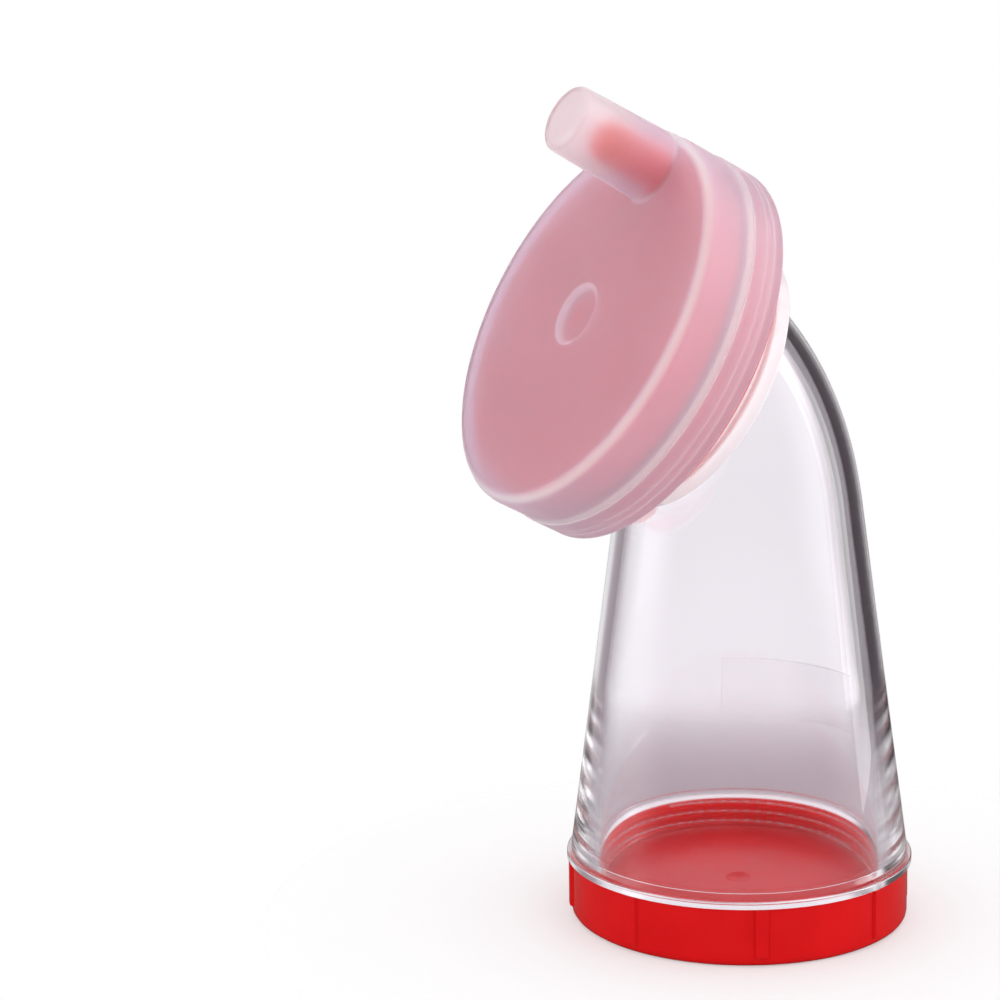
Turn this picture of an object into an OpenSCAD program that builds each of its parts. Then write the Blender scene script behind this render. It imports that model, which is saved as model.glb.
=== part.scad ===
// Hand-cranked seed grinder: a clear leaning hopper on a red screw base, a red burr head on a tilted neck,
// and a frosted dust cover whose hollow peg hides the crank knob.
// Millimetres, +Z up, origin at the centre of the underside. The head leans toward -X.

/* [Base cap] */
// Radius of the base over its grip ribs.
base_r = 31; // [29:0.5:34]
// Height of the base cap.
base_h = 10.6; // [9.6:0.1:13]
// Height of the hollow under the cap floor.
floor_rise = 3.3; // [2.5:0.1:4]
// Thickness of the cap floor.
base_floor = 2.2; // [1.6:0.2:2.8]
// Width of the ring that the cap stands on, with its outer rounding.
foot_w = 3.2; // [2.6:0.1:4]
// Number of stiffening ribs under the floor.
foot_ribs = 6; // [4:1:8]
// Width of one stiffening rib.
foot_rib_w = 1.4; // [1:0.1:2]
// Radius of the hub where those ribs meet.
foot_hub_r = 4; // [3:0.5:6]
// Rounding where the cap wall turns into the foot.
base_round = 1.4; // [0.6:0.2:2]
// Thickness of the cap wall between the ribs.
base_wall = 2.1; // [1.7:0.1:2.6]
// Number of grip ribs round the cap.
grip_ribs = 8; // [6:1:12]
// Width of one grip rib.
grip_w = 2.6; // [1.8:0.2:4]
// How far the ribs stand proud of the wall.
grip_proud = 0.5; // [0.3:0.1:0.8]
// Height at which the ribs start.
grip_foot = 1.6; // [1:0.2:3]
// Turn of the first rib about the vertical.
grip_turn = 21; // [0:1:44]

/* [Hopper body] */
// Thickness of the clear flange that rests on the cap.
flange_t = 1.2; // [0.8:0.1:2]
// Step from the flange edge in to the conical wall.
flange_step = 0.7; // [0.3:0.1:1]
// Lean of the conical wall from the vertical.
taper = 7.66; // [6:0.02:9.5]
// Wall of the hopper.
hopper_wall = 2.4; // [1.8:0.1:3]
// Wall of the threaded skirt inside the cap.
skirt_wall = 1.8; // [1.4:0.1:2.2]
// Gap between the skirt end and the cap floor.
skirt_gap = 0.4; // [0.3:0.1:0.8]
// Space left for the screw thread between skirt and cap.
thread_room = 1; // [0.8:0.1:1.4]
// Height at which the body starts to bend forward.
bend_z = 76.2; // [72:0.2:78]
// Reach of the straight wall into the bend at the back.
bend_back = 24.6; // [22:0.1:30]
// Reach of the straight wall into the bend at the front.
bend_front = 1; // [0.6:0.1:4]

/* [Head axis] */
// Elevation of the head axis.
head_tilt = 28; // [24:0.5:32]
// Height at which the head axis crosses the vertical axis.
axis_z = 94.2; // [92:0.2:98]

/* [Neck] */
// Outer radius where the bent body meets the neck.
throat_r = 19.6; // [18.4:0.2:20.4]
// Distance along the head axis to the end of the bend.
throat_s = 9; // [8:0.2:10]
// Straight length from the bend to the collar.
throat_len = 1.2; // [0.8:0.1:2.4]
// Length of the collar.
collar_len = 3.2; // [2.5:0.1:4.5]
// Step from the neck out to the collar.
collar_step = 0.9; // [0.5:0.1:1.6]
// Radius of the clear neck in front of the collar.
neck_r = 24.2; // [23.4:0.1:25]
// Length of the neck that stays in view in front of the collar.
neck_len = 6.3; // [4:0.1:7]
// Step from the neck in to the spigot that plugs into the burr housing.
seat_step = 1.5; // [1.1:0.1:2]
// Length of the spigot.
spigot_len = 3.9; // [3.6:0.1:5]
// Wall of the spigot.
spigot_wall = 2.6; // [2:0.1:3]

/* [Burr housing] */
// Thickness of the rear flange that stops the dust cover.
stop_t = 0.7; // [0.6:0.1:1.5]
// Step from the cover wall in to the edge of that flange.
stop_inset = 1; // [0.2:0.1:1.1]
// Wall of the housing.
housing_wall = 1.5; // [1.2:0.1:1.7]
// Room between the spigot end and the burr plate.
socket_room = 0.2; // [0.1:0.05:0.4]
// Thickness of the plate that carries the fixed burr.
plate_t = 1.8; // [1.4:0.1:2.4]
// Height of the lip round the fixed burr.
lip_h = 1.1; // [0.8:0.1:1.5]
// Radius of the seed eye in the plate and burrs.
eye_r = 11.5; // [10:0.5:13]
// Number of spokes that carry the hub in the eye.
spokes = 3; // [2:1:4]
// Width of one spoke.
spoke_w = 2.8; // [2:0.2:4]
// Wall of the hub round its bush.
hub_wall = 1.6; // [1.2:0.1:2.2]
// How far the hub stands out behind the plate.
hub_back = 2; // [1.2:0.1:2.6]

/* [Burrs] */
// Thickness of one burr ring with its teeth.
burr_t = 3.1; // [2.6:0.1:3.4]
// Gap between the burr rings and the walls round them.
burr_gap = 0.6; // [0.4:0.1:1]
// Depth of the grooves between the teeth.
tooth_depth = 0.7; // [0.4:0.1:1]
// Number of grooves.
teeth = 30; // [18:2:40]
// Width of one groove.
groove_w = 1.3; // [0.8:0.1:1.6]
// Angle of the grooves to the radius.
groove_rake = 12; // [0:1:20]
// Gap between the two sets of teeth.
grind_gap = 0.4; // [0.3:0.1:0.8]
// Number of keys that stop the fixed burr from turning.
keys = 3; // [2:1:4]
// Width of one key.
key_w = 4; // [3:0.5:6]
// How far a key reaches into the burr ring.
key_depth = 1.2; // [0.8:0.1:2]
// Number of arms from the turning burr to its square hole.
burr_arms = 3; // [2:1:4]
// Width of those arms.
burr_arm_w = 4; // [3:0.5:5]
// Wall round the square hole at its corners.
square_wall = 1.8; // [1.4:0.1:2.4]

/* [Crank] */
// Step from the housing wall in to the edge of the crank disc.
crank_inset = 0.4; // [0.3:0.1:0.8]
// Thickness of the crank plate.
crank_t = 2.4; // [2:0.1:2.8]
// Wall of the crank skirt.
crank_wall = 1.1; // [0.9:0.1:1.3]
// Height of the outlet slit between the crank skirt and the housing lip.
slit = 1.2; // [0.8:0.1:1.6]
// Rounding of the crank edge.
crank_round = 1.2; // [0.6:0.1:1.6]
// Rim of the crank disc left outside the knob.
knob_edge = 0.4; // [0.3:0.1:2]
// Turn of the knob about the head axis from straight up the slope.
knob_turn = -8; // [-20:1:20]
// Radius of the knob at its foot.
knob_r = 3.9; // [3.4:0.1:4.2]
// Radius that the knob loses toward its tip.
knob_taper = 0.3; // [0.1:0.05:0.6]
// Height of the knob.
knob_h = 13.5; // [10:0.5:15]
// Rounding of the knob tip.
knob_round = 1.4; // [0.6:0.1:2]
// Radius of the steel pin that the knob turns on.
pin_r = 1.6; // [1.2:0.1:2]
// Closed length of the knob above its pin.
knob_cap = 2; // [1.5:0.1:3]
// Crank plate left under the pin.
pin_floor = 0.4; // [0.3:0.1:0.8]

/* [Drive bolt] */
// Side of the square that drives the crank and the turning burr.
square_w = 6; // [5.6:0.1:7]
// Radius of the bolt head, moulded into the crank plate.
bolt_head_r = 5.5; // [5.2:0.1:6.5]
// Thickness of the bolt head.
bolt_head_t = 1.1; // [0.8:0.1:1.4]
// Thickness of the crank plate over the bolt head.
bolt_skin = 0.6; // [0.4:0.1:0.7]
// Step from the square in to the round journal.
journal_step = 0.2; // [0.1:0.1:0.6]
// Wall of the bush.
bush_wall = 1.2; // [0.9:0.1:1.5]
// Free play of a shaft or pin in its bush.
bush_play = 0.06; // [0.03:0.01:0.09]
// Wire radius of the spring.
wire_r = 0.45; // [0.4:0.05:0.5]
// Turns of the spring.
spring_turns = 3.5; // [2.5:0.5:3.5]
// Length of the fitted spring.
spring_len = 6; // [5.8:0.1:6.6]
// Room between the bolt and the spring.
spring_play = 1.35; // [1:0.05:1.8]
// Thickness of the washers at both ends of the spring.
washer_t = 0.8; // [0.6:0.1:1]
// Edge of the washers left outside the spring.
washer_edge = 1.4; // [0.8:0.1:1.8]
// Wall of the nut across its flats.
nut_wall = 1.2; // [1:0.1:1.8]
// Thickness of the nut.
nut_t = 3.2; // [2.6:0.1:4]
// Bolt end left beyond the nut.
bolt_end = 0.8; // [0.4:0.1:1.2]

/* [Dust cover] */
// Outer radius of the cover wall.
cover_r = 34.7; // [34:0.1:35.6]
// Wall of the cover.
cover_wall = 1.4; // [1.1:0.1:1.6]
// Gap between the cover wall and the burr housing.
cover_play = 0.7; // [0.6:0.1:1.2]
// Gap between the cover rim and the housing flange.
cover_gap = 0.2; // [0.2:0.05:0.5]
// Gap between the crank plate and the inside of the cover face.
face_gap = 0.5; // [0.4:0.1:1]
// How far the rim band stands proud of the wall.
band_proud = 0.25; // [0.15:0.05:0.5]
// Height of the rim band.
band_h = 6.2; // [3:0.2:8]
// Rounding of the face edge.
cover_round = 2.5; // [1.8:0.1:3]
// Radius of the round dimple in the middle of the face.
dimple_r = 5.7; // [4:0.1:7]
// Depth of the dimple.
dimple_d = 1.1; // [0.4:0.1:1.2]
// Height of the bump that the dimple leaves on the inside.
dimple_bump = 0.3; // [0.2:0.05:0.35]
// Gap between the knob and the peg round it.
peg_play = 1.3; // [0.8:0.1:1.6]
// Wall of the peg.
peg_wall = 1.2; // [1:0.1:1.4]
// Radius that the peg loses toward its tip.
peg_taper = 0.5; // [0.3:0.1:1]
// Room left over the knob inside the peg.
peg_room = 6.2; // [3:0.2:8]
// Rounding of the peg tip.
peg_round = 1.6; // [1.5:0.1:2.2]

/* [Hidden] */
eps = 0.1;
half = 0.5;
quarter = 0.25;
full_turn = 360;
right_angle = 90;
fn_round = 96;
fn_small = 48;
ring_n = 48;
bend_n = 10;
wire_n = 6;
curl_n = 8;
hex_n = 6;
play = 0.3;

base_wall_r = base_r - grip_proud;
floor_z = floor_rise + base_floor;
cap_bore_r = base_wall_r - base_wall;
skirt_r = cap_bore_r - thread_room;
skirt_bore_r = skirt_r - skirt_wall;
flange_z = base_h + flange_t;
flange_r = base_r + grip_proud * half;
cone_r = flange_r - flange_step;
core_step = 0.3;
core_r = skirt_bore_r - core_step;
core_z = flange_z + core_step;

slope = tan(taper);
function cone_at(z) = cone_r - slope * (z - flange_z);
wall_z = flange_z + (cone_r - hopper_wall - core_r) / slope;

lean = right_angle - head_tilt;
ax = [-cos(head_tilt), sin(head_tilt)];
up = [sin(head_tilt), cos(head_tilt)];
function on_axis(s) = [0, axis_z] + s * ax;

collar_s = throat_s + throat_len;
throat_end = collar_s + collar_len * half;
bore_s = collar_s + collar_len * quarter;
seat_s = collar_s + collar_len + neck_len;
collar_r = neck_r + collar_step;
spigot_r = neck_r - seat_step;

function bez(a, b, c, u) = (1 - u) * (1 - u) * a + 2 * u * (1 - u) * b + u * u * c;
bend_r = cone_at(bend_z);
back_0 = [bend_r, bend_z];
back_1 = back_0 + bend_back * [-sin(taper), cos(taper)];
back_2 = on_axis(throat_s) + throat_r * up;
front_0 = [-bend_r, bend_z];
front_1 = front_0 + bend_front * [sin(taper), cos(taper)];
front_2 = on_axis(throat_s) - throat_r * up;

// One section of the hopper: a circle whose diameter runs from front point f to back point b, drawn in by t.
function section(f, b, t) = let (c = (f + b) * half, r = norm(b - f) * half - t, d = (b - f) / norm(b - f))
    [for (i = [0 : ring_n - 1]) let (a = full_turn * i / ring_n)
        [c.x + r * cos(a) * d.x, r * sin(a), c.y + r * cos(a) * d.y]];
function level(z, r) = section([-r, z], [r, z], 0);
function bent(t) = [for (k = [0 : bend_n]) let (u = k / bend_n)
    section(bez(front_0, front_1, front_2, u), bez(back_0, back_1, back_2, u), t)];
function throat(t) = section(on_axis(throat_end) - throat_r * up, on_axis(throat_end) + throat_r * up, t);
outer_rings = concat([level(flange_z - flange_t * half, cone_at(flange_z - flange_t * half))], bent(0), [throat(0)]);
inner_rings = concat([level(core_z - core_step * 2, core_r), level(wall_z, core_r)], bent(hopper_wall),
    [throat(hopper_wall)]);

housing_r = cover_r - cover_wall - cover_play;
stop_r = cover_r - stop_inset;
crank_r = housing_r - crank_inset;
burr_r = crank_r - crank_wall - burr_gap;
rim_s = seat_s + stop_t + cover_gap;
plate_s = seat_s + spigot_len + socket_room;
burr_s = plate_s + plate_t;
lip_s = burr_s + lip_h;
turn_s = burr_s + burr_t + grind_gap;
crank_s = turn_s + burr_t;
face_s = crank_s + crank_t;
crank_skirt_s = lip_s + slit;

bolt_r = square_w * half - journal_step;
head_s = face_s - bolt_skin - bolt_head_t;
bush_r = bolt_r + bush_play + bush_wall;
hub_r = bush_r + hub_wall;
hub_s = plate_s - hub_back;
spring_r = bolt_r + spring_play + wire_r;
washer_r = spring_r + wire_r + washer_edge;
nut_r = (bolt_r + nut_wall) / cos(right_angle * 2 / hex_n);
thrust_s = hub_s - washer_t - eps;
spring_s = thrust_s - spring_len;
cup_s = spring_s - washer_t;
nut_s = cup_s - nut_t;
bolt_s = nut_s - bolt_end;

knob_reach = crank_r - knob_r - knob_edge;
knob_tip_r = knob_r - knob_taper;
knob_s = face_s + play;
pin_s = crank_s + pin_floor;
pin_top_s = knob_s + knob_h - knob_cap;
cover_in_s = face_s + face_gap;
cover_face_s = cover_in_s + cover_wall;
peg_r = knob_r + peg_play + peg_wall;
peg_tip_r = peg_r - peg_taper;
peg_h = knob_s + knob_h + peg_room + peg_wall - cover_in_s;
dimple_ball = (dimple_r * dimple_r + dimple_d * dimple_d) / (2 * dimple_d);
dimple_wall = cover_wall - dimple_d + dimple_bump;

// Puts its children on the head axis, local +Z pointing out of the head and local +X up the slope.
module on_head() {
    translate([0, 0, axis_z])
        rotate([0, -lean, 0])
            children();
}

// Puts its children on the knob axis.
module on_knob() {
    on_head()
        rotate([0, 0, knob_turn])
            translate([knob_reach, 0, 0])
                children();
}

// Plain tube or disc from height a to height b.
module tube(r_out, r_in, a, b) {
    rotate_extrude($fn = fn_round)
        translate([r_in, a])
            square([r_out - r_in, b - a]);
}

module bore(r, a, b) {
    translate([0, 0, a])
        cylinder(r = r, h = b - a, $fn = fn_small);
}

// Skin over a list of rings that all have the same number of points.
module loft(rings) {
    n = len(rings[0]);
    last = len(rings) - 1;
    points = [for (r = rings) each r];
    sides = [for (k = [0 : last - 1], i = [0 : n - 1]) let (j = (i + 1) % n)
        each [[k * n + i, (k + 1) * n + i, (k + 1) * n + j], [k * n + i, (k + 1) * n + j, k * n + j]]];
    foot = [for (i = [0 : n - 1]) i];
    head = [for (i = [n - 1 : -1 : 0]) last * n + i];
    polyhedron(points = points, faces = concat(sides, [foot, head]), convexity = 4);
}

// Clear moulded hopper: threaded skirt, flange, leaning cone, collar, neck and spigot in one piece.
module hopper_body() {
    color([0.92, 0.94, 0.96, 0.35])
        difference() {
            union() {
                loft(outer_rings);
                tube(skirt_r, 0, floor_z + skirt_gap, flange_z - eps);
                tube(flange_r, 0, base_h, flange_z);
                on_head() {
                    tube(collar_r, 0, collar_s, collar_s + collar_len);
                    tube(neck_r, 0, collar_s + eps, seat_s);
                    tube(spigot_r, 0, collar_s + eps, seat_s + spigot_len);
                    shoulder_fill();
                }
            }
            loft(inner_rings);
            bore(skirt_bore_r, 0, core_z);
            on_head()
                bore(spigot_r - spigot_wall, bore_s, seat_s + spigot_len + eps);
        }
}

// Fillet under the collar where it comes down on the front shoulder of the cone.
module shoulder_fill() {
    intersection() {
        translate([0, 0, throat_s])
            cylinder(r1 = throat_r, r2 = collar_r, h = throat_len + eps, $fn = fn_round);
        translate([-collar_r, -collar_r, throat_s])
            cube([collar_r * half, collar_r * 2, collar_len]);
    }
}

// Red screw cap that closes the filling mouth and is the foot.
module base_cap() {
    color([0.82, 0.08, 0.09])
        difference() {
            union() {
                rotate_extrude($fn = fn_round)
                    cap_profile();
                for (k = [0 : grip_ribs - 1])
                    rotate([0, 0, grip_turn + full_turn * k / grip_ribs])
                        grip_rib();
            }
            bore(cap_bore_r, floor_z, base_h + eps);
            foot_hollow();
        }
}

// Hollow under the floor, crossed by stiffening ribs that meet in a hub.
module foot_hollow() {
    difference() {
        bore(base_wall_r - foot_w, -eps, floor_rise);
        bore(foot_hub_r, -eps * 2, floor_rise + eps);
        for (k = [0 : foot_ribs - 1])
            rotate([0, 0, full_turn * k / foot_ribs])
                translate([0, -foot_rib_w * half, -eps * 2])
                    cube([base_wall_r, foot_rib_w, floor_rise + eps * 3]);
    }
}

module cap_profile() {
    square([base_wall_r - base_round, base_h]);
    translate([0, base_round])
        square([base_wall_r, base_h - base_round]);
    translate([base_wall_r - base_round, base_round])
        circle(r = base_round, $fn = fn_small);
}

// Low rib with round flanks, cut back at the foot by the cap rounding.
module grip_rib() {
    intersection() {
        translate([0, 0, grip_foot])
            cylinder(r = base_r, h = base_h - grip_foot, $fn = fn_round);
        translate([base_wall_r - base_wall * half, -grip_w * half, grip_foot])
            cube([base_wall, grip_w, base_h - grip_foot]);
    }
}

// Red housing fixed on the neck: cover stop, wall, socket, burr plate and spoked hub.
module burr_housing() {
    color([0.82, 0.1, 0.1])
        on_head() {
            difference() {
                union() {
                    tube(stop_r, 0, seat_s, seat_s + stop_t);
                    tube(housing_r, 0, seat_s, lip_s);
                }
                difference() {
                    tube(housing_r - housing_wall, 0, seat_s + stop_t, plate_s);
                    tube(spigot_r + housing_wall, 0, seat_s, plate_s);
                }
                bore(spigot_r, seat_s - eps, plate_s);
                bore(housing_r - housing_wall, burr_s, lip_s + eps);
                bore(eye_r, plate_s - eps, burr_s + eps);
            }
            burr_keys(0);
            difference() {
                union() {
                    tube(hub_r, 0, hub_s, lip_s);
                    for (k = [0 : spokes - 1])
                        rotate([0, 0, full_turn * (k + half) / spokes])
                            translate([0, -spoke_w * half, plate_s])
                                cube([eye_r + eps * 2, spoke_w, plate_t]);
                }
                bore(bush_r, hub_s - eps, lip_s + eps);
            }
        }
}

// Blocks on the plate that hold the fixed burr, grown by g for the notches that they enter.
module burr_keys(g) {
    for (k = [0 : keys - 1])
        rotate([0, 0, full_turn * k / keys])
            translate([burr_r - key_depth - g, -key_w * half - g, burr_s])
                cube([key_depth + burr_gap + crank_wall + g, key_w + 2 * g, lip_h + g]);
}

// Pale bush pressed into the hub.
module hub_bush() {
    color([0.9, 0.88, 0.82])
        on_head()
            tube(bush_r, bolt_r + bush_play, hub_s, lip_s);
}

// Ring with raked radial grooves cut into its front face.
module burr_ring(a) {
    difference() {
        tube(burr_r, eye_r, a, a + burr_t);
        for (k = [0 : teeth - 1])
            rotate([0, 0, full_turn * k / teeth])
                translate([eye_r, 0, a + burr_t - tooth_depth])
                    rotate([0, 0, groove_rake])
                        translate([-eye_r, -groove_w * half, 0])
                            cube([eye_r + burr_r, groove_w, tooth_depth + eps]);
    }
}

module fixed_burr() {
    color([0.93, 0.92, 0.88])
        on_head()
            difference() {
                burr_ring(burr_s);
                translate([0, 0, -eps])
                    burr_keys(eps);
            }
}

module turning_burr() {
    color([0.93, 0.92, 0.88])
        on_head() {
            difference() {
                union() {
                    translate([0, 0, turn_s + burr_t])
                        mirror([0, 0, 1])
                            burr_ring(0);
                    tube(square_w * sqrt(half) + square_wall, 0, turn_s, turn_s + burr_t);
                    for (k = [0 : burr_arms - 1])
                        rotate([0, 0, full_turn * k / burr_arms])
                            translate([0, -burr_arm_w * half, turn_s + tooth_depth])
                                cube([eye_r + eps * 2, burr_arm_w, burr_t - tooth_depth]);
                }
                translate([-square_w * half, -square_w * half, turn_s - eps])
                    cube([square_w, square_w, burr_t + eps * 2]);
            }
        }
}

// Red crank disc: plate, short skirt round the turning burr and square drive hole.
module crank_disc() {
    color([0.82, 0.1, 0.1]) {
        difference() {
            on_head() {
                difference() {
                    rotate_extrude($fn = fn_round)
                        crank_profile();
                    bore(crank_r - crank_wall, crank_skirt_s - eps, crank_s);
                    bore(bolt_head_r, head_s, head_s + bolt_head_t);
                    translate([-square_w * half, -square_w * half, crank_s - eps])
                        cube([square_w, square_w, head_s - crank_s + eps * 2]);
                }
            }
            on_knob()
                bore(pin_r, pin_s, face_s + eps);
        }
    }
}

module crank_profile() {
    translate([0, crank_skirt_s])
        square([crank_r, face_s - crank_round - crank_skirt_s]);
    translate([0, crank_s])
        square([crank_r - crank_round, face_s - crank_s]);
    translate([crank_r - crank_round, face_s - crank_round])
        circle(r = crank_round, $fn = fn_small);
}

// Bolt with a flush round head, a square that drives crank and burr, and a round journal.
module drive_bolt() {
    color([0.72, 0.73, 0.75])
        on_head() {
            tube(bolt_head_r, 0, head_s, head_s + bolt_head_t);
            translate([-square_w * half, -square_w * half, turn_s])
                cube([square_w, square_w, head_s - turn_s]);
            tube(bolt_r, 0, bolt_s, turn_s + eps);
        }
}

module washer(a) {
    tube(washer_r, bolt_r + play * half, a, a + washer_t);
}

module thrust_washer() {
    color([0.9, 0.88, 0.82])
        on_head()
            washer(thrust_s);
}

module spring_washer() {
    color([0.7, 0.71, 0.73])
        on_head()
            washer(cup_s);
}

// Helical spring as one unbroken tube between its washers.
spring_pitch = (spring_len - 2 * wire_r) / spring_turns;
function coil_ring(p) = let (a = full_turn * p, z = spring_s + wire_r + spring_pitch * p)
    [for (i = [0 : wire_n - 1]) let (b = full_turn * i / wire_n, r = spring_r + wire_r * cos(b))
        [r * cos(a), r * sin(a), z + wire_r * sin(b)]];
coil_rings = [for (k = [spring_turns * curl_n : -1 : 0]) coil_ring(k / curl_n)];
// Least distance between points of the spring that lie more than half a turn apart along it.
coil_gap = min([for (i = [0 : len(coil_rings) - 1], j = [i + curl_n * half : len(coil_rings) - 1],
    p = coil_rings[i], q = coil_rings[j]) norm(p - q)]);

module pressure_spring() {
    echo(coil_gap = coil_gap);
    color([0.75, 0.76, 0.78])
        on_head()
            loft(coil_rings);
}

module lock_nut() {
    color([0.72, 0.73, 0.75])
        on_head()
            difference() {
                translate([0, 0, nut_s])
                    linear_extrude(nut_t)
                        circle(r = nut_r, $fn = hex_n);
                bore(bolt_r, nut_s - eps, nut_s + nut_t + eps);
            }
}

module knob_pin() {
    color([0.72, 0.73, 0.75])
        on_knob()
            tube(pin_r, 0, pin_s, pin_top_s);
}

// Slim red knob that turns freely on its pin.
module crank_knob() {
    color([0.82, 0.1, 0.1])
        on_knob()
            difference() {
                rotate_extrude($fn = fn_small)
                    peg_profile(knob_r, knob_tip_r, knob_h, knob_round, knob_s);
                bore(pin_r + bush_play, knob_s - eps, pin_top_s + play);
            }
}

// Half outline of a tapered peg with a rounded tip, standing on height a.
module peg_profile(r0, r1, h, rd, a) {
    translate([0, a]) {
        polygon([[0, 0], [r0, 0], [r1, h - rd], [r1 - rd, h], [0, h]]);
        translate([r1 - rd, h - rd])
            circle(r = rd, $fn = fn_small);
    }
}

// Frosted dust cover: round cup with a rim band, a dimple and the hollow peg for the knob.
module cover_cap() {
    color([0.86, 0.62, 0.66, 0.8])
        difference() {
            union() {
                on_head() {
                    rotate_extrude($fn = fn_round)
                        cover_profile(cover_r, cover_face_s, cover_round, rim_s);
                    tube(cover_r + band_proud, cover_r - cover_wall * half, rim_s, rim_s + band_h);
                }
                on_knob()
                    rotate_extrude($fn = fn_small)
                        peg_profile(peg_r, peg_tip_r, peg_h, peg_round, cover_in_s);
            }
            on_head() {
                difference() {
                    rotate_extrude($fn = fn_round)
                        cover_profile(cover_r - cover_wall, cover_in_s, cover_round - cover_wall, rim_s - eps);
                    dimple(dimple_ball + dimple_wall);
                }
                dimple(dimple_ball);
            }
            on_knob()
                rotate_extrude($fn = fn_small)
                    peg_profile(peg_r - peg_wall, peg_tip_r - peg_wall, peg_h - peg_wall + eps, peg_round - peg_wall,
                        cover_in_s - eps);
        }
}

// Ball that presses the dimple into the face.
module dimple(r) {
    translate([0, 0, cover_face_s + dimple_ball - dimple_d])
        sphere(r = r, $fn = fn_round);
}

// Half outline of a cup that opens downward: radius r, top at height b, rounded edge rd, mouth at height a.
module cover_profile(r, b, rd, a) {
    translate([0, a])
        square([r, b - rd - a]);
    translate([0, b - rd - eps])
        square([r - rd, rd + eps]);
    translate([r - rd, b - rd])
        circle(r = rd, $fn = fn_small);
}

hopper_body();
base_cap();
burr_housing();
hub_bush();
fixed_burr();
turning_burr();
crank_disc();
drive_bolt();
thrust_washer();
pressure_spring();
spring_washer();
lock_nut();
knob_pin();
crank_knob();
cover_cap();
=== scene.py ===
"""Builds the visible pieces of a hand-cranked seed grinder round its CAD frame."""

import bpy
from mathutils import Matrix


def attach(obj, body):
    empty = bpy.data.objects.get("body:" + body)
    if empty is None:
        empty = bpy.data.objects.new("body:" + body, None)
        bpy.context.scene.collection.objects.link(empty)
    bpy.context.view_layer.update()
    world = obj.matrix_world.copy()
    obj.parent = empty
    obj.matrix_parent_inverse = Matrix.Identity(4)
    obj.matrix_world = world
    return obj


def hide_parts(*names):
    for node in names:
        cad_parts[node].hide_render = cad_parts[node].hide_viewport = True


bl_info = {
    "name": "Seed grinder looks",
    "version": (1, 0, 0),
    "blender": (4, 5, 0),
    "location": "View3D > Sidebar > Grinder",
    "description": "Clear hopper, red screw base and burr head, frosted dust cover, studio stage",
    "category": "Object",
}

import math
from types import SimpleNamespace

import bmesh
import bpy
from bpy.props import FloatProperty, FloatVectorProperty, IntProperty, PointerProperty
from bpy.types import Operator, Panel, PropertyGroup
from mathutils import Matrix, Vector

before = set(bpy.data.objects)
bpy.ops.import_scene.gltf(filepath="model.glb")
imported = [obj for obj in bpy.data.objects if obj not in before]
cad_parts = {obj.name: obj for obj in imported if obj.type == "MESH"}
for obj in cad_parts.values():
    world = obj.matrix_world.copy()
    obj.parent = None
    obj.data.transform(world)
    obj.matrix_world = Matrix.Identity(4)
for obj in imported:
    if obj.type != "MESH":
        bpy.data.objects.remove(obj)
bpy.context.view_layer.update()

MM = 0.001
FULL_TURN = 2 * math.pi
WELD = 0.002 * MM
SAME_RING = 0.02 * MM
SHARP_ANGLE = math.radians(32)
ROUND_STEPS = 4
BODY_STEPS = 160
RIM_STEPS = 192
PEG_STEPS = 96
BEND_STEPS = 40
CONE_STEPS = 40
THREAD_STEPS = 72
GRIP_STEPS = 36
WIRE_STEPS = 12
LABEL_STEPS = 48
COIL_STEPS = 48
DISH_STEPS = 6
FLOOR_STEPS = 96
CORE_STEP = 0.3 * MM
THREAD_ROOT = 0.3 * MM
AIR = 0.05 * MM
NEAR_WALL = 0.1 * MM
# Roundings of edges, from crisp to soft.
FINE = 0.1 * MM
CRISP = 0.15 * MM
EASED = 0.2 * MM
SOFT = 0.25 * MM
# How fast the inner wall swells toward the foot, and how steep the dimple's wall is.
SWELL_POWER = 1.35
DIMPLE_POWER = 5
# Distances from the middle at which the floor starts to pale for the camera, starts to fade and is gone.
FLOOR_PALES = 20 * MM
FLOOR_FADES = 60 * MM
FLOOR_GONE = 150 * MM
# Height that the lamps aim at.
LAMP_AIM = 70 * MM
# Dark flats round the set: turn to the left of the camera, half angles of the dark core and of the soft edge in
# degrees, and share of light left. They stand tall, because heights count half, and dip a little below the horizon.
FLATS = ((-140, 19, 26, 0.08), (140, 14, 27, 0.35), (0, 55, 95, 0.05))
FLAT_HEIGHTS = (1, 1, 0.5)
FLAT_DIP = -0.08


def linear(code):
    """Turns an sRGB hex colour into the linear RGBA colour that shaders take."""
    parts = [int(code[i:i + 2], 16) / 255 for i in (1, 3, 5)]
    return [c / 12.92 if c <= 0.04045 else ((c + 0.055) / 1.055) ** 2.4 for c in parts] + [1.0]


def length(name, millimetres, description):
    """A length property with its default in millimetres."""
    return FloatProperty(name=name, description=description, default=millimetres * MM, unit="LENGTH", precision=5)


def angle(name, degrees, description):
    """An angle property with its default in degrees."""
    return FloatProperty(name=name, description=description, default=math.radians(degrees), unit="ROTATION")


def colour(name, code, description):
    """A colour property with its default as an sRGB hex value."""
    return FloatVectorProperty(name=name, description=description, default=linear(code), size=4, min=0, max=1,
                               subtype="COLOR")


def share(name, value, description):
    """A plain factor property."""
    return FloatProperty(name=name, description=description, default=value, min=0)


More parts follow.
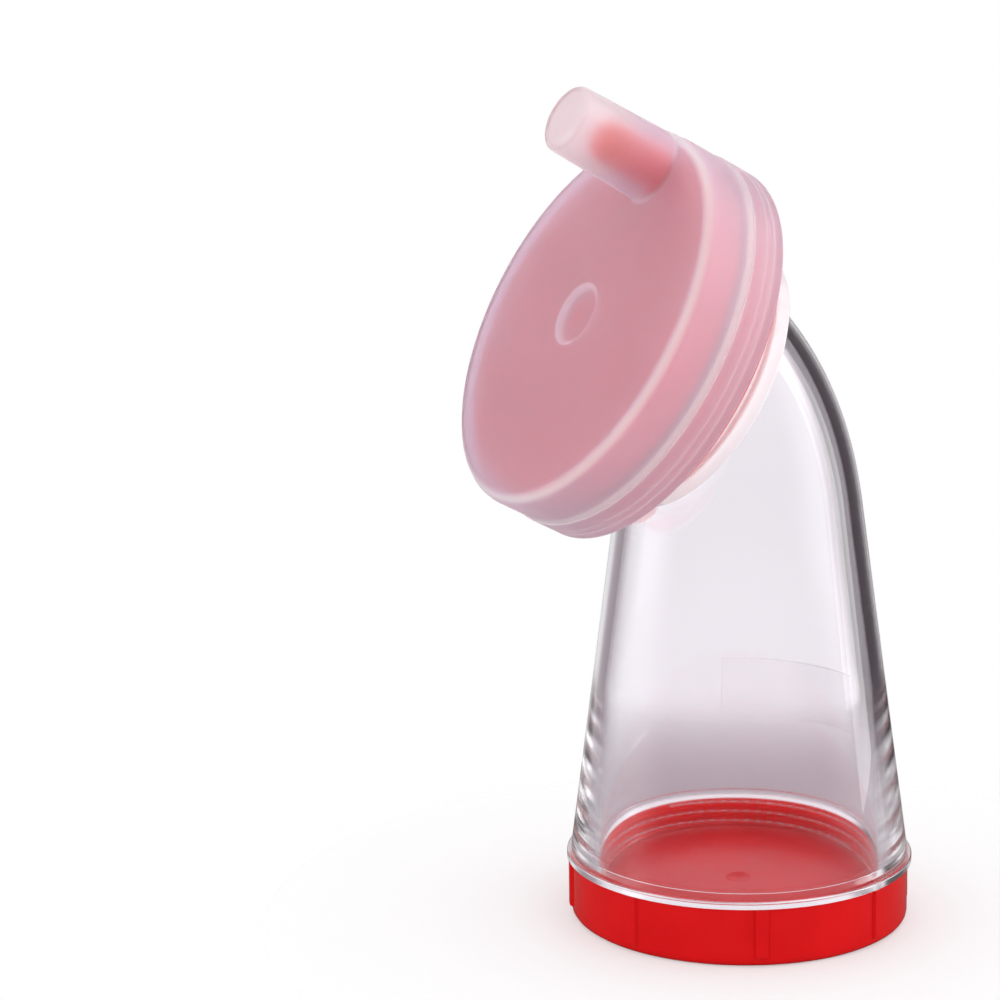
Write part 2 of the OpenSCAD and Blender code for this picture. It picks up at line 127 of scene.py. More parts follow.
class GrinderBase(PropertyGroup):
    """Sizes of the red screw base."""

    radius: length("Radius", 31, "Radius over the grip ribs")
    height: length("Height", 10.6, "Height of the cap")
    wall: length("Wall", 2.1, "Wall between the ribs")
    foot_round: length("Foot rounding", 1.4, "Rounding where the wall turns into the foot")
    rise: length("Floor rise", 3.3, "Height of the hollow under the floor")
    floor: length("Floor", 1.5, "Thickness of the floor")
    foot: length("Foot ring", 3.2, "Width of the ring that the cap stands on")
    foot_ribs: IntProperty(name="Foot ribs", description="Stiffening ribs under the floor", default=6)
    foot_rib: length("Foot rib", 1.4, "Width of one stiffening rib")
    foot_hub: length("Foot hub", 4, "Radius of the hub where the stiffening ribs meet")
    grips: IntProperty(name="Grip ribs", description="Grip ribs round the wall", default=8)
    grip: length("Grip rib", 2.6, "Width of one grip rib")
    grip_proud: length("Grip height", 0.5, "How far a grip rib stands proud")
    grip_foot: length("Grip foot", 1.6, "Height at which the grip ribs start")
    grip_turn: angle("Grip turn", 21, "Turn of the first grip rib about the vertical")
    gate: length("Gate mark", 2.6, "Radius of the moulding gate mark on the floor")
    pitch: length("Thread pitch", 2, "Pitch of the screw thread")
    thread: length("Thread height", 0.3, "Height of the screw thread over its wall")


class GrinderHopper(PropertyGroup):
    """Sizes of the clear hopper."""

    flange: length("Flange", 1.2, "Thickness of the flange on the cap")
    flange_step: length("Flange step", 0.7, "Step from the flange edge in to the cone")
    taper: angle("Taper", 7.66, "Lean of the conical wall")
    wall: length("Wall", 2.4, "Wall of the hopper")
    swell_z: length("Swell", 43, "Height below which the wall swells toward the skirt")
    skirt_wall: length("Skirt wall", 1.1, "Wall of the threaded skirt")
    skirt_gap: length("Skirt gap", 0.4, "Gap between the skirt and the cap floor")
    thread_room: length("Thread room", 1, "Space between skirt and cap wall")
    bend_z: length("Bend height", 76.2, "Height at which the body starts to bend")
    bend_back: length("Bend back", 24.6, "Reach of the wall into the bend at the back")
    bend_front: length("Bend front", 1, "Reach of the wall into the bend at the front")
    tilt: angle("Head tilt", 28, "Elevation of the head axis")
    axis_z: length("Axis height", 94.2, "Height at which the head axis crosses the vertical axis")
    throat_r: length("Throat", 19.6, "Outer radius at the end of the bend")
    throat_s: length("Throat reach", 9, "Distance along the head axis to the end of the bend")
    throat: length("Throat length", 1.2, "Straight length from the bend to the collar")
    collar: length("Collar", 3.2, "Length of the collar")
    collar_step: length("Collar step", 0.9, "Step from the neck out to the collar")
    neck_r: length("Neck", 24.2, "Radius of the neck")
    neck: length("Neck length", 6.3, "Length of the neck in view")
    seat_step: length("Seat step", 1.5, "Step from the neck in to the spigot")
    spigot: length("Spigot", 3.9, "Length of the spigot")
    spigot_wall: length("Spigot wall", 2.6, "Wall of the spigot")
    label_foot: length("Label foot", 28.5, "Height of the label's lower edge")
    label_top: length("Label top", 41, "Height of the label's upper edge")
    label_start: angle("Label start", -3, "Turn at which the label starts")
    label_sweep: angle("Label sweep", 69, "Turn that the label covers")
    label: length("Label film", 0.08, "Thickness of the label film")


class GrinderHead(PropertyGroup):
    """Sizes of the burr head under the dust cover."""

    stop: length("Stop", 0.7, "Thickness of the flange that stops the cover")
    stop_inset: length("Stop inset", 1, "Step from the cover wall in to the stop's edge")
    wall: length("Housing wall", 1.5, "Wall of the housing")
    room: length("Socket room", 0.2, "Room between spigot and burr plate")
    plate: length("Plate", 1.8, "Thickness of the burr plate")
    lip: length("Lip", 1.1, "Height of the lip round the fixed burr")
    eye: length("Eye", 11.5, "Radius of the seed eye")
    spokes: IntProperty(name="Spokes", description="Spokes that carry the hub", default=3)
    spoke: length("Spoke", 2.8, "Width of one spoke")
    hub: length("Hub", 5.66, "Outer radius of the hub")
    bush: length("Bush seat", 4.06, "Radius of the bush seat in the hub")
    hub_back: length("Hub back", 2, "How far the hub stands out behind the plate")
    burr: length("Burr", 3.1, "Thickness of one burr ring")
    grind: length("Grinding gap", 0.4, "Gap between the burrs")
    crank_inset: length("Crank inset", 0.4, "Step from the housing wall in to the crank's edge")
    crank: length("Crank plate", 2.4, "Thickness of the crank plate")
    crank_wall: length("Crank wall", 1.1, "Wall of the crank skirt")
    slit: length("Outlet slit", 1.2, "Height of the outlet slit")
    crank_round: length("Crank rounding", 2.2, "Rounding of the crank's edge")
    bolt: length("Bolt head", 5.5, "Radius of the bolt head")
    bolt_head: length("Bolt head thickness", 1.1, "Thickness of the bolt head")
    bolt_skin: length("Bolt skin", 0.6, "Crank plate over the bolt head")
    bolt_hole: length("Bolt hole", 4.3, "Radius that clears the bolt's square")
    knob: length("Knob", 3.9, "Radius of the knob at its foot")
    knob_taper: length("Knob taper", 0.3, "Radius that the knob loses toward its tip")
    knob_height: length("Knob height", 13.5, "Height of the knob")
    knob_round: length("Knob rounding", 1.4, "Rounding of the knob's tip")
    knob_edge: length("Knob edge", 0.4, "Rim of the crank left outside the knob")
    knob_turn: angle("Knob turn", -8, "Turn of the knob about the head axis")
    knob_play: length("Knob play", 0.3, "Gap under the knob")
    pin: length("Pin bore", 1.66, "Radius of the knob's bore")
    pin_cap: length("Knob cap", 1.7, "Closed length of the knob over its bore")
    wire: length("Spring wire", 0.45, "Wire radius of the spring")
    coil: length("Spring", 4.6, "Radius of the spring at the middle of its wire")
    coil_turns: share("Spring turns", 3.5, "Turns of the spring")
    coil_length: length("Spring length", 6, "Length of the fitted spring")
    washer: length("Washer", 0.8, "Thickness of the washers at the spring's ends")
    washer_gap: length("Washer gap", 0.1, "Gap between hub and thrust washer")


class GrinderCover(PropertyGroup):
    """Sizes of the frosted dust cover."""

    radius: length("Radius", 34.7, "Outer radius of the wall")
    wall: length("Wall", 1.4, "Wall of the cover")
    play: length("Play", 0.7, "Gap between the wall and the housing")
    gap: length("Rim gap", 0.2, "Gap between the rim and the stop")
    face_gap: length("Face gap", 0.5, "Gap between crank plate and cover face")
    band: length("Band", 6.2, "Height of the rim band")
    band_proud: length("Band proud", 0.25, "How far the rim band stands proud")
    groove: length("Groove", 0.12, "Depth of the grooves round the rim band")
    groove_low: length("Lower groove", 1.6, "Height of the lower groove over the rim")
    groove_high: length("Upper groove", 3.1, "Height of the upper groove over the rim")
    edge: length("Edge", 2.5, "Rounding of the face edge")
    dimple: length("Dimple", 5.7, "Radius of the dimple in the face")
    dimple_depth: length("Dimple depth", 1.1, "Depth of the dimple")
    dimple_bump: length("Dimple bump", 0.3, "Bump that the dimple leaves on the inside")
    peg_play: length("Peg play", 1.3, "Gap between knob and peg")
    peg_wall: length("Peg wall", 1.2, "Wall of the peg")
    peg_taper: length("Peg taper", 0.5, "Radius that the peg loses toward its tip")
    peg_room: length("Peg room", 6.2, "Room over the knob inside the peg")
    peg_round: length("Peg rounding", 1.6, "Rounding of the peg's tip")
    peg_fillet: length("Peg fillet", 0.8, "Hollow rounding at the peg's foot")


class GrinderColours(PropertyGroup):
    """Colours of the finishes."""

    clear: colour("Clear plastic", "#FEFBFF", "Tint of the clear moulding")
    red: colour("Red plastic", "#CA0F13", "Glossy red moulding of the base")
    # Painted light: a lighter red painted on the cup's inner wall in place of light shining through the thin wall.
    painted_glow: colour("Red cup wall", "#FF2420", "Thin red wall that light shines through")
    scarlet: colour("Scarlet plastic", "#DA1E18", "Glossy red moulding of the burr head")
    frost_peg: colour("Frosted peg", "#F2E6EA", "Milky cover where little lies behind it")
    frost: colour("Frosted plastic", "#EEDAE9", "Milky moulding")
    frost_edge: colour("Frosted edge", "#EAE6E8", "Milky moulding where it is thick and scatters more")
    acetal: colour("Acetal", "#E9E4D6", "Off-white moulding")
    steel: colour("Steel", "#C4C5C8", "Bright turned steel")
    label: colour("Label film", "#F4F2F6", "Clear label film")
    passed: colour("Passed light", "#FCFCFC", "What a clear wall leaves of lamp light")
    floor: colour("Floor", "#ECEAEC", "Studio floor")
    # Painted shade: darker floor tones that only the clear hopper's view and glossy faces' mirroring meet.
    behind: colour("Floor behind", "#ACA8AC", "Studio floor as it shows through the clear hopper")
    mirrored: colour("Mirrored floor", "#6E605A", "Studio floor as glossy faces mirror it")
    flats: colour("Dark flats", "#FFEAF5", "Tint of what is left of the light at the dark flats")
    white: colour("White", "#FFFFFF", "Background and open light")


class GrinderStage(PropertyGroup):
    """Camera, floor and light of the studio."""

    eye: FloatVectorProperty(name="Camera place", description="Where the camera stands", subtype="XYZ",
                             unit="LENGTH", default=(-0.228737, -0.37554, 0.15565))
    azimuth: angle("Azimuth", -25.808, "Turn of the camera about the vertical")
    elevation: angle("Elevation", 10.214, "Downward look of the camera")
    roll: angle("Roll", -0.981, "Roll of the camera")
    lens: FloatProperty(name="Lens", description="Focal length on a 36 mm sensor", default=89.897, unit="CAMERA")
    floor_r: length("Floor radius", 240, "Radius of the floor disc")
    ambient: share("Ambient", 1.08, "Strength of the studio's soft light from all round")
    mirrored: share("Mirrored", 0.7, "Strength of the surroundings as glossy faces mirror them")
    key: share("Key", 0.5, "Brightness of the tall softbox on the left")
    side: share("Side", 1.9, "Brightness of the narrow softbox on the right")
    fill: share("Fill", 1.4, "Brightness of the low light that opens the shadows under the head")
    top: share("Top", 0.6, "Brightness of the softbox high up on the right")


GROUPS = {
    "grinder_base": GrinderBase,
    "grinder_hopper": GrinderHopper,
    "grinder_head": GrinderHead,
    "grinder_cover": GrinderCover,
    "grinder_colours": GrinderColours,
    "grinder_stage": GrinderStage,
}


def plan(scene):
    """Works out the places that several pieces share from the size groups."""
    base, hop, head, cover = scene.grinder_base, scene.grinder_hopper, scene.grinder_head, scene.grinder_cover
    p = SimpleNamespace(base=base, hop=hop, head=head, cover=cover)
    p.wall_r = base.radius - base.grip_proud
    p.bore_r = p.wall_r - base.wall
    p.floor_z = base.rise + base.floor
    p.skirt_r = p.bore_r - hop.thread_room
    p.skirt_bore_r = p.skirt_r - hop.skirt_wall
    p.core_r = p.skirt_bore_r - CORE_STEP
    p.flange_z = base.height + hop.flange
    p.flange_r = base.radius + base.grip_proud / 2
    p.cone_r = p.flange_r - hop.flange_step
    p.slope = math.tan(hop.taper)
    p.cone_at = lambda z: p.cone_r - p.slope * (z - p.flange_z)
    p.core_z = p.flange_z + CORE_STEP
    swell = p.cone_at(p.core_z) - hop.wall - p.core_r
    p.wall_at = lambda z: hop.wall + swell * (max(0, hop.swell_z - z) / (hop.swell_z - p.core_z)) ** SWELL_POWER
    p.out = Vector((-math.cos(hop.tilt), 0, math.sin(hop.tilt)))
    p.up = Vector((math.sin(hop.tilt), 0, math.cos(hop.tilt)))
    p.on_axis = lambda s: Vector((0, 0, hop.axis_z)) + s * p.out
    p.collar_s = hop.throat_s + hop.throat
    p.seat_s = p.collar_s + hop.collar + hop.neck
    p.spigot_r = hop.neck_r - hop.seat_step
    p.spigot_end = p.seat_s + hop.spigot
    p.housing_r = cover.radius - cover.wall - cover.play
    p.stop_r = cover.radius - head.stop_inset
    p.crank_r = p.housing_r - head.crank_inset
    p.rim_s = p.seat_s + head.stop + cover.gap
    p.plate_s = p.spigot_end + head.room
    p.burr_s = p.plate_s + head.plate
    p.lip_s = p.burr_s + head.lip
    p.crank_s = p.burr_s + 2 * head.burr + head.grind
    p.face_s = p.crank_s + head.crank
    p.knob_s = p.face_s + head.knob_play
    p.cover_in_s = p.face_s + cover.face_gap
    p.cover_face_s = p.cover_in_s + cover.wall
    p.hub_s = p.plate_s - head.hub_back
    p.spring_s = p.hub_s - head.washer_gap - head.washer - head.coil_length
    p.peg_r = head.knob + cover.peg_play + cover.peg_wall
    p.peg_top_s = p.knob_s + head.knob_height + cover.peg_room + cover.peg_wall
    across = Vector((0, 1, 0))
    p.head_place = Matrix.Translation((0, 0, hop.axis_z)) @ Matrix((p.up, across, p.out)).transposed().to_4x4()
    reach = p.crank_r - head.knob - head.knob_edge
    p.knob_place = p.head_place @ Matrix.Rotation(head.knob_turn, 4, "Z") @ Matrix.Translation((reach, 0, 0))
    return p


def round_rings(bm, rings):
    """Rounds the rings of a turned mesh that have a rounding: (radius, height, rounding)."""
    for radius, height, width in rings:
        if width <= 0:
            continue
        edges = [e for e in bm.edges
                 if all(abs(v.co.xy.length - radius) < SAME_RING and abs(v.co.z - height) < SAME_RING
                        for v in e.verts)]
        bmesh.ops.bevel(bm, geom=edges, offset=width, offset_type="OFFSET", segments=ROUND_STEPS, profile=0.5,
                        affect="EDGES", material=-1, clamp_overlap=True)


def turned(profile, steps, closed=False, place=Matrix()):
    """Spins a half outline of (radius, height, rounding) points into a closed mesh and puts it in its place."""
    bm = bmesh.new()
    line = [bm.verts.new((r, 0, z)) for r, z, _ in profile]
    pairs = list(zip(line, line[1:] + line[:1])) if closed else list(zip(line, line[1:]))
    edges = [bm.edges.new(pair) for pair in pairs]
    bmesh.ops.spin(bm, geom=line + edges, cent=(0, 0, 0), axis=(0, 0, 1), angle=FULL_TURN, steps=steps,
                   use_merge=True)
    bmesh.ops.remove_doubles(bm, verts=bm.verts, dist=WELD)
    bmesh.ops.recalc_face_normals(bm, faces=bm.faces)
    round_rings(bm, profile)
    bmesh.ops.transform(bm, matrix=place, verts=bm.verts)
    return bm


def lofted(sections, steps):
    """Skins a row of circles, each the matrix that puts a unit circle in its place, and closes both ends."""
    bm = bmesh.new()
    bmesh.ops.create_circle(bm, cap_ends=True, segments=steps, radius=1, matrix=sections[0])
    edges = list(bm.edges)
    for before, after in zip(sections, sections[1:]):
        grown = bmesh.ops.extrude_edge_only(bm, edges=edges)["geom"]
        verts = {g for g in grown if isinstance(g, bmesh.types.BMVert)}
        edges = [g for g in grown if isinstance(g, bmesh.types.BMEdge) and set(g.verts) <= verts]
        bmesh.ops.transform(bm, matrix=after @ before.inverted(), verts=list(verts))
    bmesh.ops.contextual_create(bm, geom=edges)
    bmesh.ops.recalc_face_normals(bm, faces=bm.faces)
    return bm


def coiled(bm, turns, steps, pitch):
    """Runs the one face of a mesh round Z along a helix."""
    bmesh.ops.spin(bm, geom=bm.faces[:], cent=(0, 0, 0), axis=(0, 0, 1), dvec=(0, 0, pitch / steps),
                   angle=FULL_TURN * turns, steps=round(turns * steps), use_merge=False)
    bmesh.ops.recalc_face_normals(bm, faces=bm.faces)
    return bm


def thread_ridge(base, wall_r, way, start):
    """Screw thread on a wall: a low ridge that stands out (way 1) or in (way -1) and runs up to the cap's rim."""
    root, foot_r, top_r = base.thread, wall_r - way * THREAD_ROOT, wall_r + way * base.thread
    outline = [(foot_r, start - root), (top_r, start - root / 3), (top_r, start + root / 3), (foot_r, start + root)]
    bm = bmesh.new()
    bm.faces.new([bm.verts.new((r, 0, z)) for r, z in outline])
    return coiled(bm, (base.height - start - 2 * root) / base.pitch, THREAD_STEPS, base.pitch)


def bar(size, place):
    """A straight block of the given size on its own middle, put in its place."""
    bm = bmesh.new()
    bmesh.ops.create_cube(bm, size=1, matrix=place @ Matrix.Diagonal((*size, 1)))
    return bm


def combined(bm, tool, operation):
    """Joins one closed mesh with another, or cuts it, and returns the result."""
    objects = []
    for part in (bm, tool):
        mesh = bpy.data.meshes.new("part")
        part.to_mesh(mesh)
        part.free()
        objects.append(bpy.data.objects.new("part", mesh))
        bpy.context.scene.collection.objects.link(objects[-1])
    change = objects[0].modifiers.new("Combine", "BOOLEAN")
    change.operation, change.solver, change.object = operation, "EXACT", objects[1]
    shaped = objects[0].evaluated_get(bpy.context.evaluated_depsgraph_get())
    result = bmesh.new()
    result.from_mesh(shaped.to_mesh())
    shaped.to_mesh_clear()
    for made in objects:
        mesh = made.data
        bpy.data.objects.remove(made)
        bpy.data.meshes.remove(mesh)
    if not result.faces:
        raise RuntimeError("a boolean left nothing")
    return result


def piece(bm, name, material, body, slot, *nodes):
    """Makes the finished object: smooth faces, crisp corners, material and body, and hides the CAD nodes it stands for.
    slot is not used.
    """
    bmesh.ops.remove_doubles(bm, verts=bm.verts, dist=WELD)
    for face in bm.faces:
        face.smooth = True
    for edge in bm.edges:
        edge.smooth = edge.calc_face_angle(0) < SHARP_ANGLE
    mesh = bpy.data.meshes.new(name)
    bm.to_mesh(mesh)
    bm.free()
    mesh.materials.append(material)
    made = bpy.data.objects.new(name, mesh)
    bpy.context.scene.collection.objects.link(made)
    even = made.modifiers.new("Even shading", "WEIGHTED_NORMAL")
    even.keep_sharp = True
    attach(made, body)
    if nodes:
        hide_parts(*nodes)
    return made


def add_node(tree, kind, inputs=None, **settings):
    """Adds one node with its settings, and sets each input or links it to a socket or to a node's own output."""
    made = tree.nodes.new(kind)
    for key, value in settings.items():
        setattr(made, key, value)
    for key, value in (inputs or {}).items():
        if isinstance(value, bpy.types.Node):
            value = next(socket for socket in value.outputs if socket.enabled)
        if isinstance(value, bpy.types.NodeSocket):
            tree.links.new(value, made.inputs[key])
        else:
            made.inputs[key].default_value = value
    return made


def make_finish(name, build, *facts):
    """Makes a material once: build adds its nodes on Object coordinates and returns the surface shader."""
    made = bpy.data.materials.get(name)
    if made is None:
        made = bpy.data.materials.new(name)
        made.use_nodes = True
        tree = made.node_tree
        tree.nodes.clear()
        place = add_node(tree, "ShaderNodeTexCoord").outputs["Object"]
        add_node(tree, "ShaderNodeOutputMaterial", {"Surface": build(tree, place, *facts)})
    return made


def per_mm(size):
    """Texture scale that gives a pattern of that size in millimetres on Object coordinates."""
    return 1 / (size * MM)


def moulded_skin(tree, place, cloud, dull, grain=None):
    """Soft clouds, the roughness that follows them, and a fine grain to bump: cloud holds its size in mm, detail and
    the limits that are used of it, dull the two roughnesses, and grain its size, detail, strength and height in mm."""
    size, detail, start, end = cloud
    clouds = add_node(tree, "ShaderNodeTexNoise", {"Vector": place, "Scale": per_mm(size), "Detail": detail})
    rough = add_node(tree, "ShaderNodeMapRange", {"Value": clouds, "From Min": start, "From Max": end,
                                                 "To Min": dull[0], "To Max": dull[1]})
    if grain is None:
        return clouds, rough, None
    size, detail, strength, height = grain
    grains = add_node(tree, "ShaderNodeTexNoise", {"Vector": place, "Scale": per_mm(size), "Detail": detail})
    bump = add_node(tree, "ShaderNodeBump", {"Height": grains, "Strength": strength, "Distance": height * MM})
    return clouds, rough, bump


def patch(tree, strength, *limits):
    """Strength of a mark where a surface lies inside all limits: a value, where it is gone and where it is full."""
    for value, gone, full in limits:
        strength = add_node(tree, "ShaderNodeMapRange", {"Value": value, "From Min": gone, "From Max": full,
                                                        "To Max": strength})
    return strength


def axis_reach(tree, place, axis=Matrix()):
    """Distance along an axis, given by the matrix that puts Z on it, and distance out from it."""
    turn = axis.inverted()
    local = add_node(tree, "ShaderNodeMapping", {"Vector": place, "Location": turn.translation,
                                                 "Rotation": turn.to_euler()})
    flat = add_node(tree, "ShaderNodeVectorMath", {0: local, 1: (1, 1, 0)}, operation="MULTIPLY")
    return (add_node(tree, "ShaderNodeSeparateXYZ", {"Vector": local}).outputs["Z"],
            add_node(tree, "ShaderNodeVectorMath", {0: flat}, operation="LENGTH"))


def lets_lamps_through(tree, shader, tint):
    """Mixes in a tinted see-through for shadow rays, so that lamps light what lies inside a clear piece."""
    lamp = add_node(tree, "ShaderNodeLightPath").outputs["Is Shadow Ray"]
    open_air = add_node(tree, "ShaderNodeBsdfTransparent", {"Color": tint})
    return add_node(tree, "ShaderNodeMixShader", {0: lamp, 1: shader, 2: open_air})


def clear_plastic(tree, place, colours, p):
    """Polished AS moulding: water clear, sharp reflections, faint flow waves and rubbed spots. The thread is scuffed,
    the inner wall of the foot a little dull, and the collar and neck are hazy."""
    _, rough, wave = moulded_skin(tree, place, (7, 3, 0.5, 0.8), (0.012, 0.035), (22, 1, 0.05, 0.4))
    height, out = axis_reach(tree, place)
    along, _ = axis_reach(tree, place, p.head_place)
    wall = add_node(tree, "ShaderNodeMapRange", {"Value": height, "From Min": p.flange_z, "From Max": p.hop.bend_z,
                                                "To Min": p.cone_r, "To Max": p.cone_at(p.hop.bend_z)})
    depth = add_node(tree, "ShaderNodeMath", {0: wall, 1: out}, operation="SUBTRACT")
    on_skirt = (height, p.base.height - AIR, p.base.height - 2 * AIR)
    inner_foot = patch(tree, 0.065, (depth, 0.8 * MM, 1.2 * MM), (height, 1.2 * p.hop.swell_z, p.hop.swell_z))
    for dull in (patch(tree, 0.16, on_skirt), inner_foot):
        rough = add_node(tree, "ShaderNodeMath", {0: rough, 1: dull}, operation="MAXIMUM")
    crest = patch(tree, 0.4, (out, p.skirt_r + 0.85 * p.base.thread, p.skirt_r + p.base.thread), on_skirt)
    neck = patch(tree, 0.72, (along, p.collar_s - 0.2 * MM, p.collar_s), (along, p.seat_s + 0.3 * MM, p.seat_s))
    haze = add_node(tree, "ShaderNodeMath", {0: crest, 1: neck}, operation="MAXIMUM")
    clear = add_node(tree, "ShaderNodeMath", {0: 1.0, 1: haze}, operation="SUBTRACT")
    shader = add_node(tree, "ShaderNodeBsdfPrincipled", {
        "Base Color": colours.clear, "Roughness": rough, "IOR": 1.56, "Transmission Weight": clear, "Normal": wave})
    return lets_lamps_through(tree, shader, colours.passed)


def red_plastic(tree, place, shade, cup=None):
    """Glossy polystyrene moulding: deep even red, soft sheen, faint orange peel and handling haze. In a cup, given as
    its radius, floor height and a lighter red, a band round the thin wall is painted in the lighter red, painted light
    that stands in for light shining through the wall, and seeds have dulled the floor."""
    clouds, rough, peel = moulded_skin(tree, place, (9, 2, 0.3, 0.7), (0.06, 0.12), (1.4, 2, 0.06, 0.1))
    if cup:
        radius, floor_z, painted_glow = cup
        height, out = axis_reach(tree, place)
        # Painted light: the band round the cup's inner wall is painted a lighter red, standing in for light through the
        # wall.
        thin = patch(tree, 1.0, (out, radius - 0.7 * MM, radius - 0.4 * MM),
                     (out, radius + 0.7 * MM, radius + 0.4 * MM))
        shade = add_node(tree, "ShaderNodeMix", {0: thin, 6: shade, 7: painted_glow}, data_type="RGBA")
        floor = patch(tree, 0.27, (height, floor_z - 0.9 * MM, floor_z - 0.7 * MM),
                      (height, floor_z + 0.3 * MM, floor_z + 0.1 * MM), (out, radius, radius - 0.2 * MM))
        rough = add_node(tree, "ShaderNodeMath", {0: rough, 1: floor}, operation="MAXIMUM")
    value = add_node(tree, "ShaderNodeMapRange", {"Value": clouds, "From Min": 0.3, "From Max": 0.7,
                                                 "To Min": 0.95, "To Max": 1.05})
    tone = add_node(tree, "ShaderNodeHueSaturation", {"Color": shade, "Value": value})
    return add_node(tree, "ShaderNodeBsdfPrincipled", {
        "Base Color": tone, "Roughness": rough, "IOR": 1.55, "Specular IOR Level": 0.3, "Normal": peel})


def frosted_plastic(tree, place, colours, p):
    """Milky low-density polyethylene: light passes and scatters, so what lies close behind shows soft and pale,
    and the thicker edge of the face, the dimple's wall and the steps of the rim band look whiter."""
    cover, rim = p.cover, p.rim_s
    _, rough, grain = moulded_skin(tree, place, (12, 3, 0.3, 0.7), (0.4, 0.48), (0.8, 2, 0.08, 0.1))
    along, out = axis_reach(tree, place, p.head_place)
    down = add_node(tree, "ShaderNodeMath", {0: p.cover_face_s, 1: along}, operation="SUBTRACT")
    inward = add_node(tree, "ShaderNodeMath", {0: cover.radius, 1: out}, operation="SUBTRACT")
    corner = add_node(tree, "ShaderNodeCombineXYZ", {"X": down, "Y": inward})
    corner = add_node(tree, "ShaderNodeVectorMath", {0: corner}, operation="LENGTH")
    inner_r, dimple = cover.radius - cover.wall, cover.dimple
    haze = patch(tree, 0.4, (corner, 1.9 * MM, 1.1 * MM))
    marks = [patch(tree, 0.2, (out, 0.75 * dimple, 0.95 * dimple), (out, 1.06 * dimple, dimple)),
             patch(tree, 0.14, (out, inner_r - 0.4 * MM, inner_r))]
    for middle, half, strength in ((rim + cover.band + 0.5 * MM, 1.3 * MM, 0.35), (rim + 1.9 * MM, 0.5 * MM, 0.25),
                                   (rim + 3.5 * MM, 0.5 * MM, 0.25)):
        marks.append(patch(tree, strength, (along, middle - half, middle - 0.4 * half),
                           (along, middle + half, middle + 0.4 * half)))
    for mark in marks:
        haze = add_node(tree, "ShaderNodeMath", {0: haze, 1: mark}, operation="MAXIMUM")
    clear = add_node(tree, "ShaderNodeMapRange", {"Value": haze, "To Min": 0.92, "To Max": 0.0})
    knob_top = p.face_s + p.head.knob_height
    up_peg = patch(tree, 1.0, (along, knob_top - p.head.knob_height / 2, knob_top))
    tint = add_node(tree, "ShaderNodeMix", {0: up_peg, 6: colours.frost, 7: colours.frost_peg}, data_type="RGBA")
    tint = add_node(tree, "ShaderNodeMix", {0: patch(tree, 1.0, (haze, 0.15, 0.4)), 6: tint, 7: colours.frost_edge},
                    data_type="RGBA")
    shader = add_node(tree, "ShaderNodeBsdfPrincipled", {
        "Base Color": tint, "Roughness": rough, "IOR": 1.45, "Transmission Weight": clear, "Normal": grain})
    return lets_lamps_through(tree, shader, colours.passed)


def acetal(tree, place, colours):
    """Natural acetal moulding: off-white, waxy half gloss."""
    _, rough, skin = moulded_skin(tree, place, (3, 3, 0.3, 0.7), (0.34, 0.48), (3, 3, 0.1, 0.05))
    return add_node(tree, "ShaderNodeBsdfPrincipled", {
        "Base Color": colours.acetal, "Roughness": rough, "IOR": 1.48, "Normal": skin})


def steel(tree, place, colours, axis):
    """Bright turned steel: fine turning marks round the head axis, so highlights streak a little."""
    turn = axis.inverted()
    local = add_node(tree, "ShaderNodeMapping", {"Vector": place, "Location": turn.translation,
                                                 "Rotation": turn.to_euler()})
    # Turning marks are drawn at 0.5 mm, coarser than real ones, so that they show; a wave repeats 20 times per unit.
    marks = add_node(tree, "ShaderNodeTexWave", {"Vector": local, "Scale": per_mm(0.5) / 20, "Distortion": 0.6,
                                                 "Detail": 1.0}, wave_type="RINGS", rings_direction="Z").outputs["Fac"]
    rough = add_node(tree, "ShaderNodeMapRange", {"Value": marks, "To Min": 0.2, "To Max": 0.34})
    skin = add_node(tree, "ShaderNodeBump", {"Height": marks, "Strength": 0.15, "Distance": 0.03 * MM})
    return add_node(tree, "ShaderNodeBsdfPrincipled", {
        "Base Color": colours.steel, "Metallic": 1.0, "Roughness": rough, "Normal": skin})


def label_film(tree, place, colours, hop):
    """Clear polypropylene film: a thin see-through sheet, duller than the hopper under it and seen by its cut edge."""
    _, rough, _ = moulded_skin(tree, place, (5, 2, 0.0, 1.0), (0.06, 0.16))
    axes = add_node(tree, "ShaderNodeSeparateXYZ", {"Vector": place}).outputs
    turn = add_node(tree, "ShaderNodeMath", {0: axes["Y"], 1: axes["X"]}, operation="ARCTAN2")
    label_end, edge, edge_turn = hop.label_start + hop.label_sweep, 0.35 * MM, math.radians(0.8)
    inside = patch(tree, 1.0, (axes["Z"], hop.label_foot, hop.label_foot + edge),
                   (axes["Z"], hop.label_top, hop.label_top - edge),
                   (turn, hop.label_start, hop.label_start + edge_turn), (turn, label_end, label_end - edge_turn))
    alpha = add_node(tree, "ShaderNodeMapRange", {"Value": inside, "To Min": 0.3, "To Max": 0.06})
    return add_node(tree, "ShaderNodeBsdfPrincipled", {
        "Base Color": colours.label, "Roughness": rough, "IOR": 1.49, "Transmission Weight": 0.8, "Alpha": alpha})


